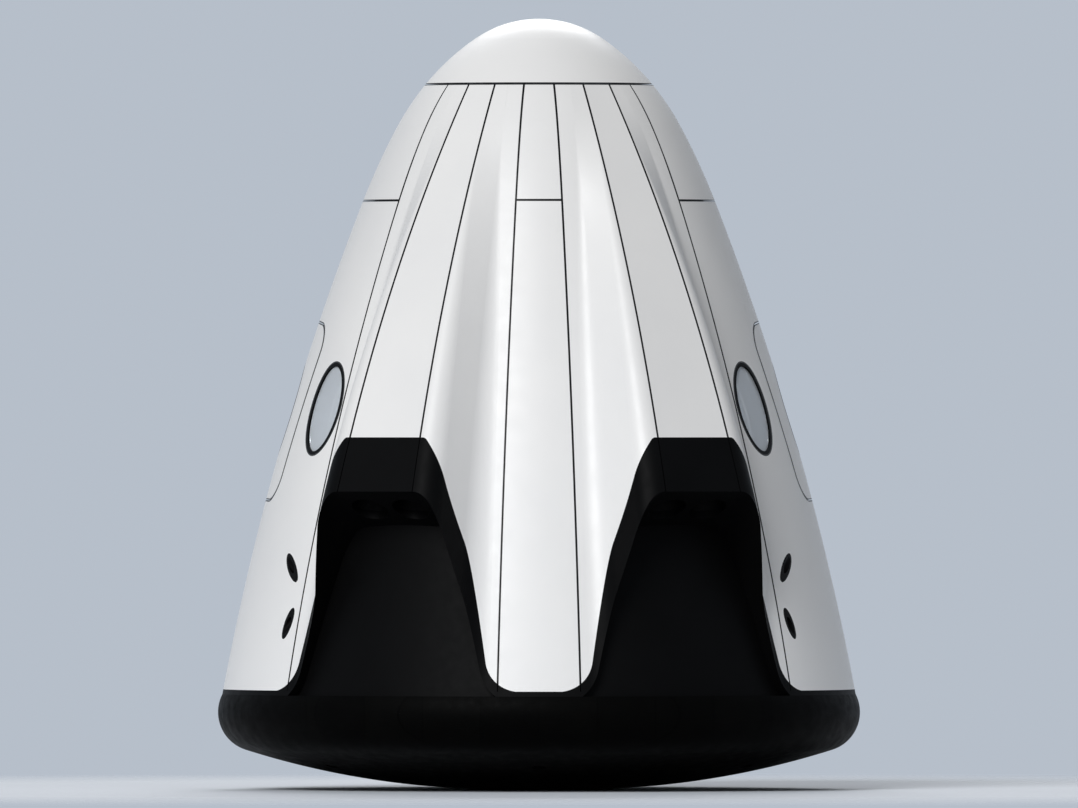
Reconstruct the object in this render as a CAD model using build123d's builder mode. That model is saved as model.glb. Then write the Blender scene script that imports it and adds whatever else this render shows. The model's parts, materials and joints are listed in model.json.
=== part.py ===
"""Crew space capsule: an ogive cabin on a round heat shield, with four engine nacelles,
two side hatches, a hinged nose cap over the docking port, and the crew's seats inside.

Millimetres. +Z is up, the origin is the middle of the heat shield's flat, -Y is the front.
"""

import os
from math import asin, atan2, cos, degrees, hypot, radians, sin, sqrt, tan

from build123d import *

# Heat shield
RIM_RADIUS = 2000.0
RIM_ROUND = 246.0
RIM_ROUND_Z = 480.0
SHIELD_FLAT = 250.0
SHIELD_THICK = 130.0
SHIELD_BORE = 1700.0
SOCKET_COUNT = 6
SOCKET_CIRCLE = 1480.0
SOCKET_RADIUS = 45.0
SOCKET_TOP_Z = 235.0

# Body of revolution: heights and radii of the stations that its arcs pass through
BASE_Z = 592.5
BASE_LEAN = 10.6
UPPER_SEAM_Z = 3664.0
UPPER_SEAM_RADIUS = 1096.0
SHOULDER_Z = 4112.6
SHOULDER_RADIUS = 891.0
NOSE_SEAM_Z = 4386.5
NOSE_SEAM_RADIUS = 710.0
NOSE_ROUND_Z = 4673.8
NOSE_ROUND_RADIUS = 400.0

# Walls
SKIN = 70.0
WALL = 140.0
SEAM = 6.0
PAINT_Z = 623.0
FLOOR_Z = 930.0
FLOOR_THICK = 60.0
STRIP_HALF = 7.5

# Nacelles: angles are measured from each nacelle's own middle
NACELLE_FROM_FRONT = 30.0
NACELLE_HALF = 22.5
FACE_HALF = 7.5
FACE_PROUD = 5.0
FACE_MID_Z = 3171.0
FACE_MID_DISTANCE = 1457.0
FACE_LOW_Z = 1863.0
FACE_LOW_DISTANCE = 2028.0
FLANK_ROUND = 16.0
CREST_ROUND_SHARE = 0.40
FOOT_ROUND_SHARE = 0.48
LINE_DEPTH = 10.0
# Sections of the nacelle: height, angle of the flank's foot
NACELLE_SECTIONS = (
    (540.0, 20.8),
    (1100.0, 20.8),
    (1700.0, 20.7),
    (2300.0, 20.4),
    (2900.0, 19.6),
    (3500.0, 18.0),
    (4000.0, 16.0),
    (4440.0, 14.0),
)

# Bell outlines, in each nacelle's own view: half of the flat top, the arcs of the shoulder
# as (radius, lean at the end), and the radius of the flare at the foot. The paint's flare runs
# out a little below the base strip's top, so that no piece ends in a feather edge.
PAINT_TOP_Z = 2193.0
PAINT_SINK = 3.0
PAINT_BELL = {"half_top": 268.0, "shoulder": ((37.0, 50.0), (560.0, 77.5)), "flare": 230.0}
OPENING_TOP_Z = 1857.0
OPENING_TILT = 30.0
OPENING_DROP = 1022.0
OPENING_BELL = {"half_top": 270.0, "shoulder": ((137.0, 55.0), (467.0, 74.0)), "flare": 220.0}

# Abort engines in the roof of each nacelle's opening
ENGINE_SPACING = 290.0
ENGINE_DISTANCE = 1760.0
ENGINE_CANT = 14.0
ENGINE_RADIUS = 118.0
ENGINE_LIP = 8.0
ENGINE_THROAT = 45.0
ENGINE_TOP_Z = 2060.0

# Attitude thrusters
THRUSTER_RADIUS = 42.0
THRUSTER_LIP = 5.0
THRUSTER_THROAT = 16.0
THRUSTER_DEPTH = 120.0
# Thrusters in the side wall: angle from the front, height, lean from the normal, heading of the
# lean (0 is up the wall, 90 is towards the hatch)
WALL_THRUSTERS = (
    (58.2, 1387.0, 70.0, 45.0),
    (55.7, 1038.0, 66.0, 163.0),
)
# Thruster in the nacelle's outboard flank
FLANK_THRUSTER_Z = 1396.0
FLANK_THRUSTER_ACROSS = 552.0
FLANK_THRUSTER_OUT = 1835.0
FLANK_THRUSTER_HEADING = 72.0
FLANK_THRUSTER_LEAN = 60.0
# Thruster in the rim under the nose cap
RIM_THRUSTER_RADIUS = 32.0
RIM_THRUSTER_DEPTH = 55.0
RIM_THRUSTER_OUT = 620.0
RIM_THRUSTER_ANGLE = 15.0

# Windows and side hatches
WINDOW_Z = 2371.0
WINDOW_FROM_FRONT = 60.0
WINDOW_WIDTH = 362.0
WINDOW_HEIGHT = 595.0
WINDOW_FRAME = 22.0
GLASS_INSET = 12.0
GLASS_THICK = 30.0
HATCH_FROM_FRONT = 90.0
HATCH_Z = 2359.0
HATCH_HALF = 455.0
HATCH_HEIGHT = 1142.0
HATCH_CORNER = 180.0
HATCH_TAPER = 9.0
HATCH_GAP = 6.0
HATCH_PROUD = 60.0
HINGE_RADIUS = 24.0
HINGE_PIN = 12.0
HINGE_RUNNING = 0.05
HINGE_OUT = 36.0
HINGE_LENGTH = 160.0
HINGE_EYE = 50.0
HINGE_GAP = 6.0
HINGE_LEAF = 130.0
HINGE_FOOT = 60.0
HINGE_SPACING = 560.0

# Docking port under the nose cap
CAP_THICK = 30.0
CAP_GAP = 6.0
CAP_HINGE_OUT = 40.0
DECK_THICK = 60.0
DECK_DROP = 20.0
TUNNEL_RADIUS = 400.0
TUNNEL_WALL = 45.0
TUNNEL_LOW_Z = 3930.0
DOCK_STANDOFF = 14.0
DOCK_FLANGE_RADIUS = 535.0
DOCK_FLANGE = 36.0
DOCK_RING_RADIUS = 490.0
DOCK_RING = 62.0
PETAL_COUNT = 3
PETAL_HEIGHT = 75.0
PETAL_WIDTH = 200.0
PETAL_THICK = 22.0
PETAL_LEAN = 28.0
FORWARD_HATCH_LAP = 32.0
FORWARD_HATCH_THICK = 70.0
FORWARD_HATCH_GAP = 6.0
FORWARD_HATCH_DISH = 36.0
FORWARD_HINGE_OUT = 500.0

# Cabin
SEAT_COUNT = 4
SEAT_PITCH = 585.0
SEAT_WIDTH = 500.0
SEAT_DEPTH = 120.0
SEAT_SHELL = 50.0
SEAT_SIDE = 45.0
SEAT_HIP_Y = 60.0
SEAT_HIP_Z = 1370.0
# Line of the seat from head to foot, from the hip
SEAT_LINE = ((-800.0, 390.0), (-560.0, 255.0), (0.0, 0.0), (250.0, 420.0), (610.0, 340.0))
SEAT_BEND = 110.0
SEAT_POST_WIDTH = 300.0
SEAT_POST_BACK = 400.0
SEAT_POST_FRONT = 60.0
SEAT_POST_DROP = 110.0
RAIL = 60.0
RAIL_LENGTH = 2300.0
RAIL_INSET = 60.0
LEG_SPACING = 1500.0
CONSOLE_WIDTH = 1150.0
CONSOLE_HEIGHT = 340.0
CONSOLE_THICK = 70.0
CONSOLE_Y = 640.0
CONSOLE_Z = 2150.0
CONSOLE_LEAN = 35.0
SCREEN_COUNT = 3
SCREEN_WIDTH = 350.0
SCREEN_HEIGHT = 270.0
SCREEN_THICK = 12.0
COLUMN = 140.0
COLUMN_Y = 820.0

QUADRANTS = (
    ("front_right", False, False),
    ("front_left", True, False),
    ("rear_right", False, True),
    ("rear_left", True, True),
)
SIDES = (("right", False), ("left", True))
FAR = 6000.0


# Profile of the body: a chain of tangent arcs, each as (centre, radius, lean at foot, lean at top)


def leaning_arc(start, lean, end):
    """Arc from start to end that leaves start leaning in by lean degrees."""
    chord = degrees(atan2(start[0] - end[0], end[1] - start[1]))
    length = hypot(start[0] - end[0], end[1] - start[1])
    radius = length / (2 * sin(radians(chord - lean)))
    centre = (start[0] - radius * cos(radians(lean)), start[1] - radius * sin(radians(lean)))
    return centre, radius, lean, 2 * chord - lean


BASE_RADIUS = RIM_RADIUS - RIM_ROUND + sqrt(RIM_ROUND**2 - (BASE_Z - RIM_ROUND_Z) ** 2)
BODY_STATIONS = (
    (BASE_RADIUS, BASE_Z),
    (UPPER_SEAM_RADIUS, UPPER_SEAM_Z),
    (SHOULDER_RADIUS, SHOULDER_Z),
    (NOSE_SEAM_RADIUS, NOSE_SEAM_Z),
    (NOSE_ROUND_RADIUS, NOSE_ROUND_Z),
)
BODY_ARCS = []
for lower, upper in zip(BODY_STATIONS, BODY_STATIONS[1:]):
    start_lean = BODY_ARCS[-1][3] if BODY_ARCS else BASE_LEAN
    BODY_ARCS.append(leaning_arc(lower, start_lean, upper))
tip_lean = BODY_ARCS[-1][3]
tip_radius = NOSE_ROUND_RADIUS / cos(radians(tip_lean))
tip_centre_z = NOSE_ROUND_Z - tip_radius * sin(radians(tip_lean))
BODY_ARCS.append(((0.0, tip_centre_z), tip_radius, tip_lean, 90.0))
NOSE_TIP_Z = tip_centre_z + tip_radius


def arc_point(arc, lean, inset):
    """Point of the arc, moved in by inset, where the wall leans by lean degrees."""
    (centre_r, centre_z), radius, _, _ = arc
    along = (radius - inset) * cos(radians(lean)) if lean < 90 else 0.0
    return centre_r + along, centre_z + (radius - inset) * sin(radians(lean))


def lean_at(arc, z, inset):
    """Lean of the arc, moved in by inset, at height z; 90 either way beyond its ends."""
    return degrees(asin(max(-1.0, min(1.0, (z - arc[0][1]) / (arc[1] - inset)))))


def arc_at(z, inset):
    """Arc of the body that holds height z at that inset, and its lean there."""
    for arc in BODY_ARCS:
        if z <= arc_point(arc, arc[3], inset)[1]:
            break
    return arc, lean_at(arc, z, inset)


def body_radius(z, inset=0.0):
    """Radius of the body's surface, moved in by inset, at height z."""
    arc, lean = arc_at(z, inset)
    return arc_point(arc, lean, inset)[0]


def body_lean(z):
    """Lean of the body's surface from the vertical at height z, in degrees."""
    return arc_at(z, 0.0)[1]


def profile_arcs(inset, low, high):
    """Arcs of the profile, moved in by inset, from height low to height high, with their leans."""
    found = []
    for arc in BODY_ARCS:
        first = -90.0 if arc is BODY_ARCS[0] else arc[2]
        start = max(first, lean_at(arc, low, inset))
        end = min(arc[3], lean_at(arc, high, inset))
        if end - start > 1e-6:
            found.append((arc, start, end))
    return found


def body_zone(outer_inset, inner_inset, low, high):
    """Shell of revolution between two insets of the body's surface; inner_inset None fills it."""
    insets = [outer_inset] if inner_inset is None else [outer_inset, inner_inset]
    ends = []
    with BuildPart() as zone:
        with BuildSketch(Plane.XZ):
            with BuildLine():
                for inset in insets:
                    arcs = profile_arcs(inset, low, high)
                    for (centre, radius, _, _), start, end in arcs:
                        CenterArc(centre, radius - inset, start, end - start)
                    ends.append(arc_point(arcs[-1][0], arcs[-1][2], inset))
                    ends.append(arc_point(arcs[0][0], arcs[0][1], inset))
                if inner_inset is None:
                    Polyline(ends[0], (0, high), (0, low), ends[1])
                else:
                    Line(ends[0], ends[2])
                    Line(ends[1], ends[3])
            make_face()
        revolve(axis=Axis.Z)
    return zone.part


def from_front(angle, radius):
    """Plan position at an angle from the front (positive to the right) and a radius."""
    return radius * sin(radians(angle)), -radius * cos(radians(angle))


def sector(first, last, low, high):
    """Upright wedge about the axis between two angles from the front."""
    corners = [from_front(angle, FAR) for angle in (first, (first + last) / 2, last)]
    with BuildPart() as wedge:
        with BuildSketch(Plane.XY.offset(low)):
            Polygon((0, 0), *corners, align=None)
        extrude(amount=high - low)
    return wedge.part


def wall_plane(angle, z, out=0.0):
    """Plane on the body's surface: x along the wall to the right, y up the wall, z outwards."""
    lean = radians(body_lean(z))
    outward = Vector(*from_front(angle, cos(lean)), sin(lean))
    across = Vector(cos(radians(angle)), sin(radians(angle)), 0)
    surface = Vector(*from_front(angle, body_radius(z)), z)
    return Plane(origin=surface + outward * out, x_dir=across, z_dir=outward)


def in_quadrant(master, flip_x, flip_y=False):
    """Copy of a front right piece, mirrored into another quadrant."""
    with BuildPart() as placed:
        add(master)
        if flip_x:
            mirror(about=Plane.YZ, mode=Mode.REPLACE)
        if flip_y:
            mirror(about=Plane.XZ, mode=Mode.REPLACE)
    return placed.part


def write(part, name):
    part.label = name
    export_step(part, f"parts/{name}.step")


os.makedirs("parts", exist_ok=True)


# Heat shield: a dish with a flat, a dome and a rounded rim that run into each other

rim_centre = RIM_RADIUS - RIM_ROUND
dome_reach = rim_centre - SHIELD_FLAT
dome_radius = (dome_reach**2 + RIM_ROUND_Z**2 - RIM_ROUND**2) / (2 * (RIM_ROUND_Z - RIM_ROUND))
dome_turn = degrees(atan2(dome_reach, dome_radius - RIM_ROUND_Z))
rim_turn = degrees(asin((BASE_Z - RIM_ROUND_Z) / RIM_ROUND))
inner_dome = dome_radius - SHIELD_THICK
bore_turn = degrees(asin((SHIELD_BORE - SHIELD_FLAT) / inner_dome))
with BuildPart() as heat_shield:
    with BuildSketch(Plane.XZ):
        with BuildLine():
            flat = Line((0, 0), (SHIELD_FLAT, 0))
            dome = JernArc(flat @ 1, flat % 1, dome_radius, dome_turn)
            rim = JernArc(dome @ 1, dome % 1, RIM_ROUND, 90 + rim_turn - dome_turn)
            inner_flat = Line((0, SHIELD_THICK), (SHIELD_FLAT, SHIELD_THICK))
            dish = JernArc(inner_flat @ 1, inner_flat % 1, inner_dome, bore_turn)
            Polyline(rim @ 1, (SHIELD_BORE, BASE_Z), dish @ 1)
            Line((0, 0), (0, SHIELD_THICK))
        make_face()
    revolve(axis=Axis.Z)
    with PolarLocations(SOCKET_CIRCLE, SOCKET_COUNT, start_angle=90):
        Cylinder(
            SOCKET_RADIUS,
            SOCKET_TOP_Z,
            align=(Align.CENTER, Align.CENTER, Align.MIN),
            mode=Mode.SUBTRACT,
        )
write(heat_shield.part, "heat_shield")


# Nacelle, drawn with its middle along +X and then turned to the front right


def circle_through(a, b, c):
    """Centre and radius of the circle through three points."""
    d = 2 * (a[0] * (b[1] - c[1]) + b[0] * (c[1] - a[1]) + c[0] * (a[1] - b[1]))
    squares = [p[0] ** 2 + p[1] ** 2 for p in (a, b, c)]
    x = (squares[0] * (b[1] - c[1]) + squares[1] * (c[1] - a[1]) + squares[2] * (a[1] - b[1])) / d
    y = (squares[0] * (c[0] - b[0]) + squares[1] * (a[0] - c[0]) + squares[2] * (b[0] - a[0])) / d
    return (x, y), hypot(a[0] - x, a[1] - y)


FACE_CENTRE, FACE_ARC = circle_through(
    ((NOSE_SEAM_RADIUS + FACE_PROUD) * cos(radians(FACE_HALF)), NOSE_SEAM_Z),
    (FACE_MID_DISTANCE, FACE_MID_Z),
    (FACE_LOW_DISTANCE, FACE_LOW_Z),
)


def face_distance(z):
    """Distance of the nacelle's outer face from the capsule's axis at height z."""
    return FACE_CENTRE[0] + sqrt(FACE_ARC**2 - (z - FACE_CENTRE[1]) ** 2)


def polar(radius, angle):
    """Point at a radius and an angle from the nacelle's middle, as (out, across)."""
    return radius * cos(radians(angle)), radius * sin(radians(angle))


def turned(centre, radius, turn):
    """Point of a circle at an angle."""
    out, across = polar(radius, turn)
    return centre[0] + out, centre[1] + across


def flank(z, foot_angle, inset):
    """One half of the nacelle's outline at height z, moved in by inset: crest, foot and wall arcs."""
    radius = body_radius(z)
    face = face_distance(z)
    half = face * tan(radians(FACE_HALF))
    bulge = face / cos(radians(FACE_HALF)) - radius
    crest = FLANK_ROUND + CREST_ROUND_SHARE * bulge
    foot = FLANK_ROUND + FOOT_ROUND_SHARE * bulge
    crest_centre = (face - crest, half)
    foot_centre = polar(radius + foot, foot_angle)
    gap = (foot_centre[1] - crest_centre[1], crest_centre[0] - foot_centre[0])
    slope = degrees(atan2(gap[1], gap[0]) + asin((crest + foot) / hypot(*gap)))
    crest, foot = crest - inset, foot + inset
    wall_angle = NACELLE_HALF + 3
    crest_arc = [turned(crest_centre, crest, turn) for turn in (0, slope / 2, slope)]
    foot_turns = (slope, (slope + foot_angle) / 2, foot_angle)
    foot_arc = [turned(foot_centre, -foot, turn) for turn in foot_turns]
    wall_turns = (foot_angle, (foot_angle + wall_angle) / 2, wall_angle)
    wall_arc = [polar(radius - inset, turn) for turn in wall_turns]
    return crest_arc, foot_arc, wall_arc


def as_drawn(point):
    return point


def mirrored(point):
    return point[0], -point[1]


def nacelle_block(inset):
    """Nacelle and the strips of wall beside it, out to its surface moved in by inset."""
    with BuildPart() as block:
        for z, foot_angle in NACELLE_SECTIONS:
            crest_arc, foot_arc, wall_arc = flank(z, foot_angle, inset)
            deep = polar(body_radius(z, 2 * WALL), NACELLE_HALF + 3)
            with BuildSketch(Plane.XY.offset(z)):
                with BuildLine():
                    Line(mirrored(crest_arc[0]), crest_arc[0])
                    for side in (as_drawn, mirrored):
                        ThreePointArc(*[side(point) for point in crest_arc])
                        Line(side(crest_arc[2]), side(foot_arc[0]))
                        ThreePointArc(*[side(point) for point in foot_arc])
                        ThreePointArc(*[side(point) for point in wall_arc])
                        Line(side(wall_arc[2]), side(deep))
                    Line(deep, mirrored(deep))
                make_face()
        loft()
    return block.part


def bell_prism(plane, outline, top, foot, reach, both):
    """Prism of a bell outline on a plane, its flat top at height top, open down past foot."""
    with BuildPart() as prism:
        with BuildSketch(plane):
            with BuildLine():
                half = [Line((0, top), (outline["half_top"], top))]
                lean = 0.0
                for radius, next_lean in outline["shoulder"]:
                    half.append(JernArc(half[-1] @ 1, half[-1] % 1, radius, lean - next_lean))
                    lean = next_lean
                drop = (half[-1] @ 1).Y - foot - outline["flare"] * (1 - cos(radians(lean)))
                leg = (half[-1] % 1) * (drop / sin(radians(lean)))
                half.append(Line(half[-1] @ 1, half[-1] @ 1 + leg))
                half.append(JernArc(half[-1] @ 1, half[-1] % 1, outline["flare"], lean))
                end = half[-1] @ 1
                Polyline(end, (FAR / 4, end.Y), (FAR / 4, foot - FAR / 4), (0, foot - FAR / 4))
                mirror(about=Plane.YZ)
            make_face()
        extrude(amount=reach, both=both)
    return prism.part


paint_plane = Plane.YZ.offset(body_radius(PAINT_TOP_Z) / 2)
paint_foot = PAINT_Z - PAINT_SINK
paint_prism = bell_prism(paint_plane, PAINT_BELL, PAINT_TOP_Z, paint_foot, RIM_RADIUS, False)
opening_outward = Vector(cos(radians(OPENING_TILT)), 0, sin(radians(OPENING_TILT)))
opening_plane = Plane(
    origin=(FACE_LOW_DISTANCE, 0, OPENING_TOP_Z), x_dir=(0, 1, 0), z_dir=opening_outward
)
opening_prism = bell_prism(opening_plane, OPENING_BELL, 0, -OPENING_DROP, RIM_RADIUS, True)
hull = body_zone(SKIN, None, BASE_Z, NOSE_SEAM_Z)

with BuildPart() as nacelle:
    add(nacelle_block(0))
    with Locations((0, 0, PAINT_Z)):
        Box(
            FAR,
            FAR,
            NOSE_SEAM_Z - PAINT_Z,
            align=(Align.CENTER, Align.CENTER, Align.MIN),
            mode=Mode.INTERSECT,
        )
    add(hull, mode=Mode.SUBTRACT)
    for edge_turn, outside in ((-NACELLE_HALF, Align.MAX), (NACELLE_HALF, Align.MIN)):
        with Locations(Location((0, 0, 0), (0, 0, edge_turn))):
            Box(FAR, FAR, 2 * FAR, align=(Align.MIN, outside, Align.CENTER), mode=Mode.SUBTRACT)
            Box(FAR, SEAM, 2 * FAR, align=(Align.MIN, Align.CENTER, Align.CENTER), mode=Mode.SUBTRACT)

with BuildPart() as face_lines:
    for line_turn in (-FACE_HALF, FACE_HALF):
        with Locations(Location((0, 0, 0), (0, 0, line_turn))):
            Box(FAR, SEAM, 2 * FAR, align=(Align.MIN, Align.CENTER, Align.CENTER))
    add(nacelle_block(LINE_DEPTH), mode=Mode.SUBTRACT)

# Thruster in the outboard flank, firing outwards and down
flank_lean = radians(FLANK_THRUSTER_LEAN)
flank_out = polar(cos(flank_lean), FLANK_THRUSTER_HEADING)
flank_thruster = Plane(
    origin=(FLANK_THRUSTER_OUT, FLANK_THRUSTER_ACROSS, FLANK_THRUSTER_Z),
    z_dir=(*flank_out, -sin(flank_lean)),
)


def nozzle_hole(plane, radius, depth):
    """Round hole along a plane's axis, from depth below the plane to well above it."""
    with BuildPart() as hole:
        with BuildSketch(plane.offset(-depth)):
            Circle(radius)
        extrude(amount=4 * depth)
    return hole.part


def nozzle(plane, radius, lip, throat, depth, housing):
    """Nozzle that fills the hole, flush with the housing's surface, with a tapered bore."""
    with BuildPart() as bell_mouth:
        add(nozzle_hole(plane, radius, depth))
        add(housing, mode=Mode.INTERSECT)
        with BuildSketch(plane.offset(-depth / 2)):
            Circle(throat)
        with BuildSketch(plane.offset(depth)):
            Circle(radius - lip)
        loft(mode=Mode.SUBTRACT)
    return bell_mouth.part


with BuildPart() as engine_holes:
    for across in (-ENGINE_SPACING / 2, ENGINE_SPACING / 2):
        engine_axis = Plane(
            origin=(ENGINE_DISTANCE, across, ENGINE_TOP_Z),
            z_dir=(sin(radians(ENGINE_CANT)), 0, -cos(radians(ENGINE_CANT))),
        )
        with BuildSketch(engine_axis):
            Circle(ENGINE_RADIUS)
        extrude(amount=ENGINE_TOP_Z - OPENING_TOP_Z + 4 * ENGINE_RADIUS)

with BuildPart() as plain_shroud:
    add(nacelle.part)
    add(paint_prism, mode=Mode.INTERSECT)
    add(opening_prism, mode=Mode.SUBTRACT)

with BuildPart() as nacelle_fairing:
    add(nacelle.part)
    add(paint_prism, mode=Mode.SUBTRACT)
    add(face_lines.part, mode=Mode.SUBTRACT)
    add(nozzle_hole(flank_thruster, THRUSTER_RADIUS, THRUSTER_DEPTH), mode=Mode.SUBTRACT)

with BuildPart() as engine_shroud:
    add(plain_shroud.part)
    add(face_lines.part, mode=Mode.SUBTRACT)
    add(nozzle_hole(flank_thruster, THRUSTER_RADIUS, THRUSTER_DEPTH), mode=Mode.SUBTRACT)
    add(engine_holes.part, mode=Mode.SUBTRACT)

with BuildPart() as abort_engines:
    add(engine_holes.part)
    add(plain_shroud.part, mode=Mode.INTERSECT)
    for across in (-ENGINE_SPACING / 2, ENGINE_SPACING / 2):
        engine_axis = Plane(
            origin=(ENGINE_DISTANCE, across, ENGINE_TOP_Z),
            z_dir=(sin(radians(ENGINE_CANT)), 0, -cos(radians(ENGINE_CANT))),
        )
        mouth = ENGINE_TOP_Z - OPENING_TOP_Z
        with BuildSketch(engine_axis.offset(mouth / 5)):
            Circle(ENGINE_THROAT)
        with BuildSketch(engine_axis.offset(mouth * 2)):
            Circle(ENGINE_RADIUS - ENGINE_LIP + (ENGINE_RADIUS - ENGINE_THROAT) / 2)
        loft(mode=Mode.SUBTRACT)


rim_thruster = Plane(
    origin=(*polar(RIM_THRUSTER_OUT, RIM_THRUSTER_ANGLE), NOSE_SEAM_Z), z_dir=(0, 0, 1)
)
rim_hole = nozzle_hole(rim_thruster, RIM_THRUSTER_RADIUS, RIM_THRUSTER_DEPTH)
bay_zone = body_zone(SKIN, WALL, PAINT_Z, NOSE_SEAM_Z)

with BuildPart() as bay_wall:
    add(bay_zone)
    add(
        sector(90 - NACELLE_HALF, 90 + NACELLE_HALF, PAINT_Z, NOSE_SEAM_Z),
        mode=Mode.INTERSECT,
    )
    add(rim_hole, mode=Mode.SUBTRACT)

with BuildPart() as bored_fairing:
    add(nacelle_fairing.part)
    add(rim_hole, mode=Mode.SUBTRACT)

with BuildPart() as nacelle_thrusters:
    add(
        nozzle(
            flank_thruster, THRUSTER_RADIUS, THRUSTER_LIP, THRUSTER_THROAT, THRUSTER_DEPTH, nacelle.part
        )
    )
    with BuildSketch(rim_thruster.offset(-RIM_THRUSTER_DEPTH)):
        Circle(RIM_THRUSTER_RADIUS)
    extrude(amount=RIM_THRUSTER_DEPTH)
    with BuildSketch(rim_thruster.offset(-RIM_THRUSTER_DEPTH * 0.7)):
        Circle(THRUSTER_THROAT)
    with BuildSketch(rim_thruster):
        Circle(RIM_THRUSTER_RADIUS - THRUSTER_LIP)
    loft(mode=Mode.SUBTRACT)


def to_front_right(master):
    """Copy of a piece drawn along +X, turned to the front right nacelle's place."""
    with BuildPart() as placed:
        add(master, rotation=(0, 0, NACELLE_FROM_FRONT - 90))
    return placed.part


for label, master in (
    ("nacelle_fairing", bored_fairing.part),
    ("engine_shroud", engine_shroud.part),
    ("bay_wall", bay_wall.part),
):
    for quadrant, flip_x, flip_y in QUADRANTS:
        write(in_quadrant(to_front_right(master), flip_x, flip_y), f"{label}_{quadrant}")

with BuildPart() as all_engines:
    for quadrant, flip_x, flip_y in QUADRANTS:
        add(in_quadrant(to_front_right(abort_engines.part), flip_x, flip_y))
write(all_engines.part, "abort_engine_nozzles")


# Walls: the strips and side walls between the nacelles, parted by seams in their outer skin

SIDE_FIRST = NACELLE_FROM_FRONT + NACELLE_HALF
SIDE_LAST = 180 - SIDE_FIRST
with BuildPart() as seam_grooves:
    for angle in (STRIP_HALF, SIDE_FIRST, SIDE_LAST, 180 - STRIP_HALF):
        for turn in (angle - 90, -angle - 90):
            with Locations(Location((0, 0, 0), (0, 0, turn))):
                Box(FAR, SEAM, 2 * FAR, align=(Align.MIN, Align.CENTER, Align.CENTER))
    with Locations((0, 0, UPPER_SEAM_Z)):
        Cylinder(FAR, SEAM)
    add(body_zone(-SKIN, SKIN, PAINT_Z, NOSE_SEAM_Z), mode=Mode.INTERSECT)

front_right_paint = to_front_right(paint_prism)
front_right_opening = to_front_right(opening_prism)
with BuildPart() as paint_corners:
    for _, flip_x, flip_y in QUADRANTS:
        add(in_quadrant(front_right_paint, flip_x, flip_y))
    add(body_zone(0, SKIN, PAINT_Z, PAINT_Z + PAINT_BELL["flare"]), mode=Mode.INTERSECT)
    for first, last in ((STRIP_HALF, SIDE_FIRST), (SIDE_LAST, 180 - STRIP_HALF)):
        add(sector(first, last, 0, FAR), mode=Mode.SUBTRACT)
        add(sector(-last, -first, 0, FAR), mode=Mode.SUBTRACT)

with BuildPart() as base_ring:
    add(body_zone(0, WALL, BASE_Z, PAINT_Z))
    for _, flip_x, flip_y in QUADRANTS:
        add(in_quadrant(front_right_opening, flip_x, flip_y), mode=Mode.SUBTRACT)
    add(body_zone(SKIN, WALL, BASE_Z, PAINT_Z))
    add(paint_corners.part)
    add(seam_grooves.part, mode=Mode.SUBTRACT)
write(base_ring.part, "base_ring")


def wall_panel(first, last, low, high):
    """Wall of full thickness between two angles and two heights, with its seams."""
    with BuildPart() as panel:
        add(body_zone(0, WALL, low, high))
        add(sector(first, last, low, high), mode=Mode.INTERSECT)
        add(paint_corners.part, mode=Mode.SUBTRACT)
        add(seam_grooves.part, mode=Mode.SUBTRACT)
    return panel.part


for label, low, high in (("lower", PAINT_Z, UPPER_SEAM_Z), ("upper", UPPER_SEAM_Z, NOSE_SEAM_Z)):
    front = wall_panel(-STRIP_HALF, STRIP_HALF, low, high)
    write(front, f"front_panel_{label}")
    write(in_quadrant(front, False, True), f"rear_panel_{label}")

right_upper = wall_panel(SIDE_FIRST, SIDE_LAST, UPPER_SEAM_Z, NOSE_SEAM_Z)
write(right_upper, "right_wall_upper")
write(in_quadrant(right_upper, True), "left_wall_upper")
plain_right_wall = wall_panel(SIDE_FIRST, SIDE_LAST, PAINT_Z, UPPER_SEAM_Z)


def window_prism(angle, shrink):
    """Oval prism through the wall at a window's place."""
    with BuildPart() as prism:
        with BuildSketch(wall_plane(angle, WINDOW_Z)):
            Ellipse(WINDOW_WIDTH / 2 - shrink, WINDOW_HEIGHT / 2 - shrink)
        extrude(amount=2 * WALL, both=True)
    return prism.part


frame_zone = body_zone(0, WALL, PAINT_Z, UPPER_SEAM_Z)
glass_zone = body_zone(GLASS_INSET, GLASS_INSET + GLASS_THICK, PAINT_Z, UPPER_SEAM_Z)


def window_frame(angle):
    """Oval frame that lines the wall at a window."""
    with BuildPart() as frame:
        add(window_prism(angle, 0))
        add(window_prism(angle, WINDOW_FRAME), mode=Mode.SUBTRACT)
        add(frame_zone, mode=Mode.INTERSECT)
    return frame.part


def window_glass(angle):
    """Pane that fills a window's frame, following the wall."""
    with BuildPart() as pane:
        add(window_prism(angle, WINDOW_FRAME))
        add(glass_zone, mode=Mode.INTERSECT)
    return pane.part


hatch_plane = wall_plane(HATCH_FROM_FRONT, HATCH_Z)
hatch_curve = body_radius(HATCH_Z) / cos(radians(body_lean(HATCH_Z)))


def hatch_sag(across):
    """How far the wall falls away from the hatch's plane at a distance across."""
    return hatch_curve - sqrt(hatch_curve**2 - across**2)


def hatch_prism(shrink):
    """Prism of the hatch's outline, tapering inwards, smaller by shrink all round."""
    deep = HATCH_PROUD + hatch_sag(HATCH_HALF)
    grow = deep * tan(radians(HATCH_TAPER)) - shrink
    with BuildPart() as prism:
        with BuildSketch(
            Plane(
                origin=hatch_plane.origin + hatch_plane.z_dir * HATCH_PROUD,
                x_dir=hatch_plane.x_dir,
                z_dir=-hatch_plane.z_dir,
            )
        ):
            RectangleRounded(2 * (HATCH_HALF + grow), HATCH_HEIGHT + 2 * grow, HATCH_CORNER + grow)
        extrude(amount=deep + 2 * WALL, taper=HATCH_TAPER)
    return prism.part


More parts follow.
